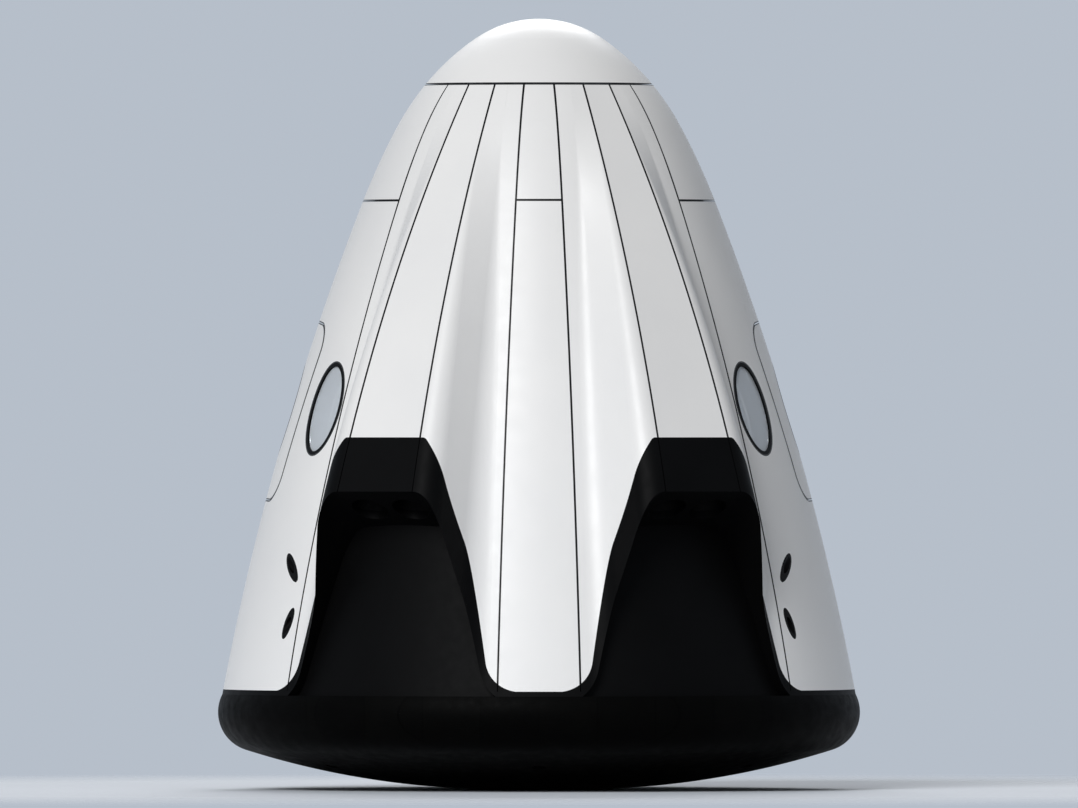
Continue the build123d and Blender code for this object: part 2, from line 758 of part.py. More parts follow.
def wall_thruster(angle, z, lean, heading):
    """Plane across a side wall thruster's axis, on the wall's surface."""
    spot = wall_plane(angle, z)
    along = spot.y_dir * cos(radians(heading)) + spot.x_dir * sin(radians(heading))
    axis = spot.z_dir * cos(radians(lean)) + along * sin(radians(lean))
    return Plane(origin=spot.origin, z_dir=axis)


with BuildPart() as wall_thruster_holes:
    for row in WALL_THRUSTERS:
        add(nozzle_hole(wall_thruster(*row), THRUSTER_RADIUS, THRUSTER_DEPTH))

with BuildPart() as right_wall:
    add(plain_right_wall)
    add(hatch_prism(0), mode=Mode.SUBTRACT)
    for angle in (WINDOW_FROM_FRONT, 180 - WINDOW_FROM_FRONT):
        add(window_prism(angle, 0), mode=Mode.SUBTRACT)
    add(wall_thruster_holes.part, mode=Mode.SUBTRACT)
    add(in_quadrant(wall_thruster_holes.part, False, True), mode=Mode.SUBTRACT)
write(right_wall.part, "right_wall_lower")
write(in_quadrant(right_wall.part, True), "left_wall_lower")

with BuildPart() as front_right_thrusters:
    add(to_front_right(nacelle_thrusters.part))
    for row in WALL_THRUSTERS:
        add(
            nozzle(
                wall_thruster(*row),
                THRUSTER_RADIUS,
                THRUSTER_LIP,
                THRUSTER_THROAT,
                THRUSTER_DEPTH,
                plain_right_wall,
            )
        )
with BuildPart() as thrusters:
    for _, flip_x, flip_y in QUADRANTS:
        add(in_quadrant(front_right_thrusters.part, flip_x, flip_y))
write(thrusters.part, "thruster_nozzles")

for label, piece in (("frames", window_frame), ("glass", window_glass)):
    with BuildPart() as all_windows:
        for _, flip_x, flip_y in QUADRANTS:
            add(in_quadrant(piece(WINDOW_FROM_FRONT), flip_x, flip_y))
    write(all_windows.part, f"window_{label}")


# Hinges: eyes on a pin, drawn on a plane whose x runs away from the leaf and whose z is the pin


def eye(plane, start, length):
    """Round eye about a hinge's pin."""
    with BuildPart() as barrel:
        with BuildSketch(plane.offset(start)):
            Circle(HINGE_RADIUS)
        extrude(amount=length)
    return barrel.part


def bore(plane):
    """Hole for the pin in a moving eye."""
    with BuildPart() as hole:
        with BuildSketch(plane.offset(-HINGE_LENGTH)):
            Circle(HINGE_PIN + HINGE_RUNNING)
        extrude(amount=2 * HINGE_LENGTH)
    return hole.part


def slab(plane, start, length, low, high):
    """Block on a hinge's plane between two corners, along a stretch of the pin."""
    with BuildPart() as block:
        with BuildSketch(plane.offset(start)):
            with Locations(((low[0] + high[0]) / 2, (low[1] + high[1]) / 2)):
                Rectangle(high[0] - low[0], high[1] - low[1])
        extrude(amount=length)
    return block.part


FIXED_EYE = (HINGE_LENGTH - HINGE_EYE - 2 * HINGE_GAP) / 2
FIXED_STARTS = (-HINGE_LENGTH / 2, HINGE_LENGTH / 2 - FIXED_EYE)
body_solid = body_zone(0, None, BASE_Z, NOSE_SEAM_Z)

hinge_across = HATCH_HALF + HATCH_GAP
hinge_out = HINGE_OUT - hatch_sag(hinge_across)


def hatch_hinge_plane(up):
    """Plane across a hatch hinge's pin at a height up the wall."""
    place = hatch_plane.from_local_coords(Vector(hinge_across, up, hinge_out))
    return Plane(origin=place, x_dir=hatch_plane.x_dir, z_dir=hatch_plane.y_dir)


HINGE_UPS = (-HINGE_SPACING / 2, HINGE_SPACING / 2)
with BuildPart() as right_hatch_hinges:
    for up in HINGE_UPS:
        pin_plane = hatch_hinge_plane(up)
        for start in FIXED_STARTS:
            add(eye(pin_plane, start, FIXED_EYE))
            add(slab(pin_plane, start, FIXED_EYE, (0, -HINGE_RADIUS / 2), (HINGE_FOOT, SKIN)))
        with BuildSketch(pin_plane.offset(-HINGE_LENGTH / 2)):
            Circle(HINGE_PIN)
        extrude(amount=HINGE_LENGTH)
    add(body_solid, mode=Mode.SUBTRACT)

with BuildPart() as right_hatch:
    add(frame_zone)
    add(hatch_prism(HATCH_GAP), mode=Mode.INTERSECT)
    add(window_prism(HATCH_FROM_FRONT, 0), mode=Mode.SUBTRACT)
    for up in HINGE_UPS:
        pin_plane = hatch_hinge_plane(up)
        add(eye(pin_plane, -HINGE_EYE / 2, HINGE_EYE))
        leaf_corners = (-HINGE_LEAF, -HINGE_RADIUS / 2), (0, HINGE_RADIUS * 0.75)
        add(slab(pin_plane, -HINGE_EYE / 2, HINGE_EYE, *leaf_corners))
        add(bore(pin_plane), mode=Mode.SUBTRACT)

right_hatch_frame = window_frame(HATCH_FROM_FRONT)
right_hatch_glass = window_glass(HATCH_FROM_FRONT)
for side, flip_x in SIDES:
    write(in_quadrant(right_hatch.part, flip_x), f"{side}_hatch")
    write(in_quadrant(right_hatch_hinges.part, flip_x), f"{side}_hatch_hinges")
    write(in_quadrant(right_hatch_frame, flip_x), f"{side}_hatch_window_frame")
    write(in_quadrant(right_hatch_glass, flip_x), f"{side}_hatch_window_glass")


# Docking port, forward hatch and nose cap

cap_pin = Plane(
    origin=(0, NOSE_SEAM_RADIUS + CAP_HINGE_OUT, NOSE_SEAM_Z + CAP_GAP / 2),
    x_dir=(0, 1, 0),
    z_dir=(1, 0, 0),
)
with BuildPart() as nose_cap:
    add(body_zone(0, None, NOSE_SEAM_Z + CAP_GAP, NOSE_TIP_Z))
    add(body_zone(CAP_THICK, None, NOSE_SEAM_Z, NOSE_TIP_Z - CAP_THICK), mode=Mode.SUBTRACT)
    add(eye(cap_pin, -HINGE_EYE / 2, HINGE_EYE))
    add(
        slab(
            cap_pin,
            -HINGE_EYE / 2,
            HINGE_EYE,
            (-CAP_HINGE_OUT - CAP_THICK, CAP_GAP),
            (0, HINGE_RADIUS),
        )
    )
    add(bore(cap_pin), mode=Mode.SUBTRACT)
write(nose_cap.part, "nose_cap")

with BuildPart() as nose_cap_hinge:
    for start in FIXED_STARTS:
        add(eye(cap_pin, start, FIXED_EYE))
        foot_corners = (-CAP_HINGE_OUT, -HINGE_FOOT - CAP_HINGE_OUT), (HINGE_RADIUS, 0)
        add(slab(cap_pin, start, FIXED_EYE, *foot_corners))
    with BuildSketch(cap_pin.offset(-HINGE_LENGTH / 2)):
        Circle(HINGE_PIN)
    extrude(amount=HINGE_LENGTH)
    add(body_solid, mode=Mode.SUBTRACT)
    with Locations((0, 0, NOSE_SEAM_Z)):
        Cylinder(
            NOSE_SEAM_RADIUS + CAP_GAP,
            FAR,
            align=(Align.CENTER, Align.CENTER, Align.MIN),
            mode=Mode.SUBTRACT,
        )
write(nose_cap_hinge.part, "nose_cap_hinge")

deck_top_z = NOSE_SEAM_Z - DECK_DROP
tunnel_outer = TUNNEL_RADIUS + TUNNEL_WALL
with BuildPart() as forward_deck:
    add(body_zone(WALL, None, deck_top_z - DECK_THICK, deck_top_z))
    with Locations((0, 0, deck_top_z)):
        Cylinder(tunnel_outer, 4 * DECK_THICK, mode=Mode.SUBTRACT)
write(forward_deck.part, "forward_deck")

dock_z = NOSE_SEAM_Z + DOCK_STANDOFF


def tube(inner, outer, low, high):
    """Upright tube about the capsule's axis."""
    with BuildPart() as ring:
        with BuildSketch(Plane.XY.offset(low)):
            Circle(outer)
            Circle(inner, mode=Mode.SUBTRACT)
        extrude(amount=high - low)
    return ring.part


write(tube(TUNNEL_RADIUS, tunnel_outer, TUNNEL_LOW_Z, dock_z), "docking_tunnel")

ring_top_z = dock_z + DOCK_FLANGE + DOCK_RING
with BuildPart() as docking_ring:
    add(tube(TUNNEL_RADIUS, DOCK_FLANGE_RADIUS, dock_z, dock_z + DOCK_FLANGE))
    add(tube(tunnel_outer, DOCK_RING_RADIUS, dock_z + DOCK_FLANGE, ring_top_z))
    with PolarLocations((tunnel_outer + DOCK_RING_RADIUS) / 2, PETAL_COUNT, start_angle=30):
        with Locations(Location((0, 0, ring_top_z), (0, -PETAL_LEAN, 0))):
            Box(PETAL_THICK, PETAL_WIDTH, 2 * PETAL_HEIGHT)
    with Locations((0, 0, dock_z)):
        Cylinder(
            TUNNEL_RADIUS,
            DOCK_FLANGE + DOCK_RING,
            align=(Align.CENTER, Align.CENTER, Align.MIN),
            mode=Mode.SUBTRACT,
        )
write(docking_ring.part, "docking_ring")

hatch_top_z = TUNNEL_LOW_Z - FORWARD_HATCH_GAP
forward_pin = Plane(
    origin=(0, FORWARD_HINGE_OUT, hatch_top_z - FORWARD_HATCH_THICK / 2),
    x_dir=(0, 1, 0),
    z_dir=(1, 0, 0),
)
with BuildPart() as forward_hatch:
    with BuildSketch(Plane.XY.offset(hatch_top_z - FORWARD_HATCH_THICK)):
        Circle(TUNNEL_RADIUS + FORWARD_HATCH_LAP)
    extrude(amount=FORWARD_HATCH_THICK)
    with BuildSketch(Plane.XY.offset(hatch_top_z - FORWARD_HATCH_DISH)):
        Circle(TUNNEL_RADIUS - 2 * FORWARD_HATCH_LAP)
    extrude(amount=FORWARD_HATCH_DISH, mode=Mode.SUBTRACT)
    add(eye(forward_pin, -HINGE_EYE / 2, HINGE_EYE))
    add(
        slab(
            forward_pin,
            -HINGE_EYE / 2,
            HINGE_EYE,
            (TUNNEL_RADIUS - FORWARD_HINGE_OUT, -HINGE_RADIUS / 2),
            (0, HINGE_RADIUS / 2),
        )
    )
    add(bore(forward_pin), mode=Mode.SUBTRACT)
write(forward_hatch.part, "forward_hatch")

with BuildPart() as forward_hatch_hinge:
    for start in FIXED_STARTS:
        add(eye(forward_pin, start, FIXED_EYE))
        add(slab(forward_pin, start, FIXED_EYE, (-HINGE_RADIUS, 0), (HINGE_RADIUS, 2 * HINGE_FOOT)))
        add(
            slab(
                forward_pin,
                start,
                FIXED_EYE,
                (TUNNEL_RADIUS - FORWARD_HINGE_OUT, HINGE_FOOT),
                (HINGE_RADIUS, 2 * HINGE_FOOT),
            )
        )
    with BuildSketch(forward_pin.offset(-HINGE_LENGTH / 2)):
        Circle(HINGE_PIN)
    extrude(amount=HINGE_LENGTH)
    Cylinder(tunnel_outer, 2 * FAR, mode=Mode.SUBTRACT)
write(forward_hatch_hinge.part, "forward_hatch_hinge")


# Cabin: floor, seats on rails, and the console on its column

write(body_zone(WALL, None, FLOOR_Z - FLOOR_THICK, FLOOR_Z), "cabin_floor")

rail_top = SEAT_HIP_Z - SEAT_POST_DROP
post_back = SEAT_HIP_Y - SEAT_POST_BACK
post_front = SEAT_HIP_Y - SEAT_POST_FRONT
seat_line = [(SEAT_HIP_Y + y, SEAT_HIP_Z + z) for y, z in SEAT_LINE]
seat_places = [(i - (SEAT_COUNT - 1) / 2) * SEAT_PITCH for i in range(SEAT_COUNT)]


def seat_strip(thick, first, last):
    """Stretch of the seat's profile, thick above its line, between two places across."""
    with BuildPart() as strip:
        with BuildSketch(Plane.YZ.offset(first)):
            with BuildLine():
                offset(FilletPolyline(*seat_line, radius=SEAT_BEND), amount=thick, side=Side.LEFT)
            make_face()
        extrude(amount=last - first)
    return strip.part


def back_line(y):
    """Height of the seat's back at a place along it, half way through its shell."""
    (top_y, top_z), (hip_y, hip_z) = seat_line[1], seat_line[2]
    return hip_z + (top_z - hip_z) * (y - hip_y) / (top_y - hip_y) + SEAT_SHELL / 2


with BuildPart() as seat:
    add(seat_strip(SEAT_SHELL, -SEAT_WIDTH / 2, SEAT_WIDTH / 2))
    add(seat_strip(SEAT_DEPTH, -SEAT_WIDTH / 2, SEAT_SIDE - SEAT_WIDTH / 2))
    add(seat_strip(SEAT_DEPTH, SEAT_WIDTH / 2 - SEAT_SIDE, SEAT_WIDTH / 2))
    with BuildSketch(Plane.YZ.offset(-SEAT_POST_WIDTH / 2)):
        Polygon(
            (post_back, rail_top),
            (post_front, rail_top),
            (post_front, back_line(post_front)),
            (post_back, back_line(post_back)),
            align=None,
        )
    extrude(amount=SEAT_POST_WIDTH)

for number, across in enumerate(seat_places, 1):
    with BuildPart() as placed_seat:
        with Locations((across, 0, 0)):
            add(seat.part)
    write(placed_seat.part, f"seat_{number}")

with BuildPart() as seat_rails:
    for along in (post_back + RAIL_INSET, post_front - RAIL_INSET):
        with Locations((0, along, rail_top)):
            Box(RAIL_LENGTH, RAIL, RAIL, align=(Align.CENTER, Align.CENTER, Align.MAX))
        for across in (-LEG_SPACING / 2, LEG_SPACING / 2):
            with Locations((across, along, FLOOR_Z)):
                Box(RAIL, RAIL, rail_top - FLOOR_Z, align=(Align.CENTER, Align.CENTER, Align.MIN))
write(seat_rails.part, "seat_rails")

console_plane = Plane(
    origin=(0, CONSOLE_Y, CONSOLE_Z),
    x_dir=(1, 0, 0),
    z_dir=(0, -cos(radians(CONSOLE_LEAN)), -sin(radians(CONSOLE_LEAN))),
)
with BuildPart() as screens:
    with BuildSketch(console_plane.offset(-SCREEN_THICK)):
        with GridLocations(CONSOLE_WIDTH / SCREEN_COUNT, 0, SCREEN_COUNT, 1):
            Rectangle(SCREEN_WIDTH, SCREEN_HEIGHT)
    extrude(amount=SCREEN_THICK)
write(screens.part, "console_screens")

with BuildPart() as console:
    with BuildSketch(console_plane.offset(-CONSOLE_THICK)):
        RectangleRounded(CONSOLE_WIDTH, CONSOLE_HEIGHT, SCREEN_THICK)
    extrude(amount=CONSOLE_THICK)
    with Locations((0, COLUMN_Y, FLOOR_Z)):
        Box(
            COLUMN,
            COLUMN,
            CONSOLE_Z + COLUMN / 2 - FLOOR_Z,
            align=(Align.CENTER, Align.CENTER, Align.MIN),
        )
    with Locations((0, COLUMN_Y, CONSOLE_Z)):
        Box(
            COLUMN,
            COLUMN_Y - CONSOLE_Y - CONSOLE_THICK,
            COLUMN,
            align=(Align.CENTER, Align.MAX, Align.CENTER),
        )
    add(screens.part, mode=Mode.SUBTRACT)
write(console.part, "control_console")
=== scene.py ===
"""Looks of a crew space capsule: a finish for every solid, padded seats, studio and camera.

Metres, in the frame of the solids: +Z is up and -Y is the front.
"""

import json
from math import cos, exp, radians, sin, sqrt, tan

import bmesh
import bpy
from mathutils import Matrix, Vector


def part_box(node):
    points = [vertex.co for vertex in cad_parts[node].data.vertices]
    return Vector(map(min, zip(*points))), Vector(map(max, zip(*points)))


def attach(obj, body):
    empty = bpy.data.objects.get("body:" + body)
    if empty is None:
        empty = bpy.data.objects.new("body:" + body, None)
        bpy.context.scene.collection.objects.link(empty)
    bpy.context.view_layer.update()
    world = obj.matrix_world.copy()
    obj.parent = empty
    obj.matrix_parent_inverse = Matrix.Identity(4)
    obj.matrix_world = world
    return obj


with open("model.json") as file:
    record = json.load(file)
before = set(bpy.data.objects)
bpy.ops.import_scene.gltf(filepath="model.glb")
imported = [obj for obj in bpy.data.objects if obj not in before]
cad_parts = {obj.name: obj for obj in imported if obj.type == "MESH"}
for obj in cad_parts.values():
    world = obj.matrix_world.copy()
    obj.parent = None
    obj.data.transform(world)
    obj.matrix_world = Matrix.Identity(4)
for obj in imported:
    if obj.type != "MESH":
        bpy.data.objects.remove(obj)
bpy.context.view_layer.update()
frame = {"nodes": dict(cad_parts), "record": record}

# Camera: a long lens square to the front, framed as the photograph is
PHOTO_WIDTH = 1078
PHOTO_METRES_PER_PIXEL = 0.00623
PHOTO_CENTRE_Z = 2.399
LENS_MM = 1150.0
SENSOR_MM = 36.0

# Light: each sun as (name, direction it comes from, strength, softness in radians)
SUNS = (
    ("key", (-0.34, -0.78, 0.52), 2.30, 0.5),
    ("back", (0.0, 0.82, 0.57), 1.40, 0.6),
)
AMBIENT = 0.18
BACKDROP = (0.47, 0.52, 0.59)
CABIN_LIGHT_PLACE = (0.0, -0.2, 3.2)
CABIN_LIGHT_WATTS = 40.0
CABIN_LIGHT_RADIUS = 0.25
# Floor: a disc just under the capsule, which fades out from FLOOR_FADE to its rim
FLOOR_COLOUR = (0.64, 0.68, 0.74)
FLOOR_RADIUS = 9.0
FLOOR_FADE = 5.0
FLOOR_DROP = 0.001
FLOOR_SEGMENTS = 96

# Uneven finishes: the range that most of a noise's values lie in, how much finer gloss varies than
# colour, and the detail of a fine grain
NOISE_LOW = 0.3
NOISE_HIGH = 0.7
GLOSS_FINENESS = 7.0
GRAIN_DETAIL = 2.0
# Heat shield's blocks and the screens' cells: their size, and half the line between them
SHIELD_BLOCK = 0.36
SHIELD_JOINT_HALF = 0.003
SCREEN_CELL_WIDTH = 0.115
SCREEN_CELL_HEIGHT = 0.055
SCREEN_LINE_HALF = 0.0015

# Seams of the outer skin: upright ones in planes through the axis, at equal steps from half a step
# beside the front and rear, and level ones, each as (height, half its width)
SEAM_STEP = radians(15.0)
SEAM_LAST = radians(60.0)
SEAM_HALF = 0.0065
NOSE_SEAM = (4.3895, 0.0075)
UPPER_SEAM = (3.664, 0.0070)
# Near-black of the painted lines: painted shade in grooves, gaps and opening edges, with dark
# sealant beside them and round the windows
SEALANT_AND_PAINTED_SHADE_COLOUR = (0.004, 0.004, 0.004)
# Edges of the wall's openings, painted near-black as shade: faces that look out or in by less than
# this share. A wall's own outward direction rises by the slope for each metre.
WALL_SLOPE = 0.3
EDGE_TURN_COSINE = 0.6
# Lining: faces of the bay walls that look inwards by more than this share
LINING_TURN_COSINE = 0.35
LINING_COLOUR = (0.78, 0.785, 0.79)

# Windows and side hatches: angle from the front, then radius, height and lean of the wall there
WINDOW_FROM_FRONT = radians(60.0)
WINDOW_PLACE = (1.541, 2.371, radians(16.7))
WINDOW_HALF_SIZE = (0.181, 0.2975)
WINDOW_SEAL = 0.010
HATCH_FROM_FRONT = radians(90.0)
HATCH_PLACE = (1.544, 2.359, radians(16.7))
# The hatch's opening has this size and corner where the wall has fallen by the sag from the tangent
# plane at its middle, and tapers inwards. Its gap is painted near-black as shade, and the dark seal
# lies on both sides of the gap.
HATCH_HALF_SIZE = (0.455, 0.571)
HATCH_CORNER = 0.180
HATCH_TAPER = radians(9.0)
HATCH_SAG = 0.0655
HATCH_GAP = 0.006
HATCH_SEAL = 0.008

# Seats: the hip's place as (y, z), and the shell's line from it as (towards the feet, up)
SEAT_HIP = (0.060, 1.370)
SEAT_LINE = ((-0.800, 0.390), (-0.560, 0.255), (0.0, 0.0), (0.250, 0.420), (0.610, 0.340))
SEAT_SHELL = 0.050
# Pads on the shell: edges are rolled, the crown falls by a share to the sides, channels are sewn in
PAD_CLEAR = 0.0015
PAD_WIDTH = 0.396
PAD_THICK = 0.052
PAD_ROLL = 0.030
PAD_CROWN = 0.12
PAD_STEPS = (30, 20)
CHANNEL_PITCH = 0.085
CHANNEL_DEPTH = 0.011
CHANNEL_HALF = 0.009
# Each pad as (name, run of the line, room left at the run's start, and at its end)
PADS = (
    ("head", 0, 0.030, 0.012),
    ("back", 1, 0.012, 0.108),
    ("thigh", 2, 0.108, 0.082),
    ("calf", 3, 0.082, 0.030),
)
# Harness on the back's pad: each strap as its two ends, (along, across), along the pad from its top
STRAP_WIDTH = 0.046
STRAP_THICK = 0.0025
STRAP_RIDE = 0.0020
STRAP_STEPS = 40
STRAPS = (
    ((-0.004, 0.085), (0.440, 0.030)),
    ((-0.004, -0.085), (0.440, -0.030)),
    ((0.475, 0.202), (0.450, 0.020)),
    ((0.475, -0.202), (0.450, -0.020)),
    ((0.505, 0.0), (0.450, 0.0)),
)
# Buckle: its place along the pad, and its outline as (radius, height)
BUCKLE_ALONG = 0.446
BUCKLE_LINE = (
    (0.036, 0.0),
    (0.036, 0.009),
    (0.033, 0.012),
    (0.020, 0.012),
    (0.018, 0.017),
    (0.012, 0.018),
)
BUCKLE_STEPS = 32


# Shader nodes


def link(material, source, target):
    """Joins an output socket to an input."""
    material.node_tree.links.new(source, target)


def feed(material, socket, value):
    """Sets an input socket to a value, or joins it to an output socket."""
    if isinstance(value, bpy.types.NodeSocket):
        link(material, value, socket)
    else:
        socket.default_value = value


def feed_named(material, node, **inputs):
    """Feeds a node's inputs by their names, with underscores for spaces."""
    for name, value in inputs.items():
        feed(material, node.inputs[name.replace("_", " ")], value)


def add_node(material, kind, **inputs):
    """New shader node with its named inputs fed."""
    made = material.node_tree.nodes.new(kind)
    feed_named(material, made, **inputs)
    return made


def principled(name, **inputs):
    """New material and its shader, with the shader's named inputs fed."""
    material = bpy.data.materials.new(name)
    material.use_nodes = True
    shader = material.node_tree.nodes["Principled BSDF"]
    feed_named(material, shader, **inputs)
    return material, shader


def worked_out(material, kind, operation, values):
    """Outputs of a node that does a sum on values or sockets."""
    made = add_node(material, kind)
    made.operation = operation
    for socket, value in zip(made.inputs, values):
        feed(material, socket, value)
    return made.outputs


def maths(material, operation, *values):
    """Number from a sum on numbers."""
    return worked_out(material, "ShaderNodeMath", operation, values)["Value"]


def vector_maths(material, operation, *values):
    """Vector from a sum on vectors."""
    return worked_out(material, "ShaderNodeVectorMath", operation, values)["Vector"]


def vector_measure(material, operation, *values):
    """Number from a sum on vectors."""
    return worked_out(material, "ShaderNodeVectorMath", operation, values)["Value"]


def place(material):
    """Position on the piece at rest, in metres."""
    return add_node(material, "ShaderNodeTexCoord").outputs["Object"]


def place_axes(material):
    """Position on the piece at rest, split into X, Y and Z."""
    return add_node(material, "ShaderNodeSeparateXYZ", Vector=place(material)).outputs


def noise(material, scale, detail=4.0, where=None):
    """Cloudy pattern with that many features to the metre."""
    spot = where or place(material)
    made = add_node(material, "ShaderNodeTexNoise", Vector=spot, Scale=scale, Detail=detail)
    return made.outputs["Fac"]


def stretched(material, scale):
    """Position with each axis scaled by itself, for grain that runs one way."""
    made = add_node(material, "ShaderNodeMapping", Vector=place(material), Scale=scale)
    return made.outputs["Vector"]


def between(material, factor, low, high):
    """Number that runs from low to high as a noise goes through its main range."""
    made = add_node(
        material,
        "ShaderNodeMapRange",
        Value=factor,
        From_Min=NOISE_LOW,
        From_Max=NOISE_HIGH,
        To_Min=low,
        To_Max=high,
    )
    return made.outputs["Result"]


def tint(material, factor, first, second):
    """Colour that runs from the first to the second with the factor."""
    made = add_node(
        material, "ShaderNodeMixRGB", Fac=factor, Color1=(*first, 1.0), Color2=(*second, 1.0)
    )
    return made.outputs["Color"]


def relief(material, shader, height, depth):
    """Small bumps of that depth in metres."""
    made = add_node(material, "ShaderNodeBump", Height=height, Distance=depth)
    feed_named(material, shader, Normal=made.outputs["Normal"])


# Masks: one inside a painted line or area, and nought elsewhere


def squares_added(material, first, second):
    """Sum of two numbers' squares."""
    squares = [maths(material, "MULTIPLY", part, part) for part in (first, second)]
    return maths(material, "ADD", *squares)


def seam_shade_and_sealant_mask(material):
    """Painted shade in the grooves of the skin's upright seams, and a dark sealant band beside
    them.
    """
    axes = place_axes(material)
    across = maths(material, "ABSOLUTE", axes["X"])
    forward = maths(material, "ABSOLUTE", axes["Y"])
    turn = maths(material, "ARCTAN2", across, forward)
    step = maths(material, "MODULO", turn, SEAM_STEP)
    off = maths(material, "SINE", maths(material, "SUBTRACT", step, SEAM_STEP / 2))
    reach = maths(material, "SQRT", squares_added(material, across, forward))
    distance = maths(material, "ABSOLUTE", maths(material, "MULTIPLY", off, reach))
    inside = maths(material, "LESS_THAN", distance, SEAM_HALF)
    return maths(material, "MULTIPLY", inside, maths(material, "LESS_THAN", turn, SEAM_LAST))


def level_seam_shade_and_sealant(height, half):
    """Mask of a level seam, within half its width of its height: painted shade in its gap, and a
    dark sealant band beside it.
    """

    def mask(material):
        off = maths(material, "SUBTRACT", place_axes(material)["Z"], height)
        return maths(material, "LESS_THAN", maths(material, "ABSOLUTE", off), half)

    return mask


def turn_from_axis(material, slope=0.0):
    """Share by which a face looks outwards: about one straight out, and minus one straight in.

    The outward direction is level, or rises by the slope for each metre.
    """
    flat = vector_maths(material, "MULTIPLY", place(material), (1.0, 1.0, 0.0))
    level = vector_maths(material, "NORMALIZE", flat)
    outward = vector_maths(material, "ADD", level, (0.0, 0.0, slope))
    facing = add_node(material, "ShaderNodeTexCoord").outputs["Normal"]
    return vector_measure(material, "DOT_PRODUCT", outward, facing)


def opening_edge_painted_shade_mask(material):
    """Painted shade on the edges of the walls' and hatches' openings and gaps, and not on their
    faces.
    """
    turned = maths(material, "ABSOLUTE", turn_from_axis(material, WALL_SLOPE))
    return maths(material, "LESS_THAN", turned, EDGE_TURN_COSINE)


def cabin_mask(material):
    """Faces that look into the cabin."""
    return maths(material, "LESS_THAN", turn_from_axis(material), -LINING_TURN_COSINE)


def on_wall(material, angle, spot):
    """Distances across, up and out of the wall from a spot that all four quadrants share."""
    radius, height, lean = spot
    upright = Vector((0.0, 0.0, 1.0))
    level = Vector((sin(angle), cos(angle), 0.0))
    across = Vector((cos(angle), -sin(angle), 0.0))
    up = upright * cos(lean) - level * sin(lean)
    out = upright * sin(lean) + level * cos(lean)
    origin = upright * height + level * radius
    folded = vector_maths(material, "ABSOLUTE", place(material))
    distances = []
    for axis in (across, up, out):
        along = vector_measure(material, "DOT_PRODUCT", folded, axis)
        distances.append(maths(material, "SUBTRACT", along, origin.dot(axis)))
    return distances


def window_seal(angle):
    """Mask of the dark seal round the oval windows at an angle from the front and rear."""

    def mask(material):
        across, up, _ = on_wall(material, angle, WINDOW_PLACE)
        shares = [
            maths(material, "DIVIDE", along, half + WINDOW_SEAL)
            for along, half in zip((across, up), WINDOW_HALF_SIZE)
        ]
        return maths(material, "LESS_THAN", squares_added(material, *shares), 1.0)

    return mask


def hatch_gap_shade_and_seal(material):
    """Painted shade in the gap round a side hatch, whose outline tapers inwards, and a dark seal on
    both sides.
    """
    across, up, out = on_wall(material, HATCH_FROM_FRONT, HATCH_PLACE)
    beyond = [
        maths(material, "SUBTRACT", maths(material, "ABSOLUTE", along), half - HATCH_CORNER)
        for along, half in zip((across, up), HATCH_HALF_SIZE)
    ]
    corner = squares_added(material, *(maths(material, "MAXIMUM", part, 0.0) for part in beyond))
    inside = maths(material, "MINIMUM", maths(material, "MAXIMUM", *beyond), 0.0)
    distance = maths(material, "ADD", maths(material, "SQRT", corner), inside)
    above = maths(material, "ADD", out, HATCH_SAG)
    widening = maths(material, "MULTIPLY", above, tan(HATCH_TAPER))
    outline = maths(material, "ADD", widening, HATCH_CORNER - HATCH_GAP / 2)
    off = maths(material, "ABSOLUTE", maths(material, "SUBTRACT", distance, outline))
    return maths(material, "LESS_THAN", off, HATCH_GAP / 2 + HATCH_SEAL)


# Finishes: scales are in features to the metre, and depths in metres


def mottled(name, colours, patch, rough, grain, depth, **inputs):
    """Finish with cloudy patches of two colours, uneven gloss and a fine grain."""
    material, shader = principled(name, **inputs)
    patches = between(material, noise(material, patch), 0.0, 1.0)
    feed_named(
        material,
        shader,
        Base_Color=tint(material, patches, *colours),
        Roughness=between(material, noise(material, patch * GLOSS_FINENESS), *rough),
    )
    relief(material, shader, noise(material, grain, GRAIN_DETAIL), depth)
    return material


def overlay(material, mask, colour):
    """Another colour on a finish where the mask is one."""
    base = material.node_tree.nodes["Principled BSDF"].inputs["Base Color"]
    mixed = add_node(
        material,
        "ShaderNodeMixRGB",
        Fac=mask(material),
        Color1=base.links[0].from_socket,
        Color2=(*colour, 1.0),
    )
    link(material, mixed.outputs["Color"], base)


def white_paint_with_painted_shade_and_sealant(name, *masks):
    """Satin white paint, very slightly uneven, with near-black where a mask is one: painted shade
    in grooves, gaps and opening edges, dark sealant beside them, and dark seals round the windows.
    """
    material = mottled(
        name,
        colours=((0.845, 0.848, 0.852), (0.88, 0.88, 0.878)),
        patch=1.3,
        rough=(0.34, 0.44),
        grain=260.0,
        depth=0.00025,
        Specular_IOR_Level=0.4,
        Coat_Weight=0.06,
        Coat_Roughness=0.3,
    )
    for mask in masks:
        # Each mask paints near-black: painted shade in grooves, gaps and opening edges, or a dark
        # seal
        overlay(material, mask, SEALANT_AND_PAINTED_SHADE_COLOUR)
    return material


def white_paint():
    """Paint of the nacelles, with painted shade in their seams' grooves and a dark sealant band
    beside them.
    """
    return white_paint_with_painted_shade_and_sealant("white_paint", seam_shade_and_sealant_mask, level_seam_shade_and_sealant(*NOSE_SEAM))


def black_coating(name="black_coating"):
    """Matte black heat-proof coating, faintly sprayed."""
    return mottled(
        name,
        colours=((0.0014, 0.0014, 0.0015), (0.0022, 0.0022, 0.0024)),
        patch=2.5,
        rough=(0.48, 0.54),
        grain=420.0,
        depth=0.0003,
        Specular_IOR_Level=0.05,
    )


def lined_black():
    """Black coating of a bay's wall, with a pale lining towards the cabin."""
    material = black_coating("lined_black")
    overlay(material, cabin_mask, LINING_COLOUR)
    return material


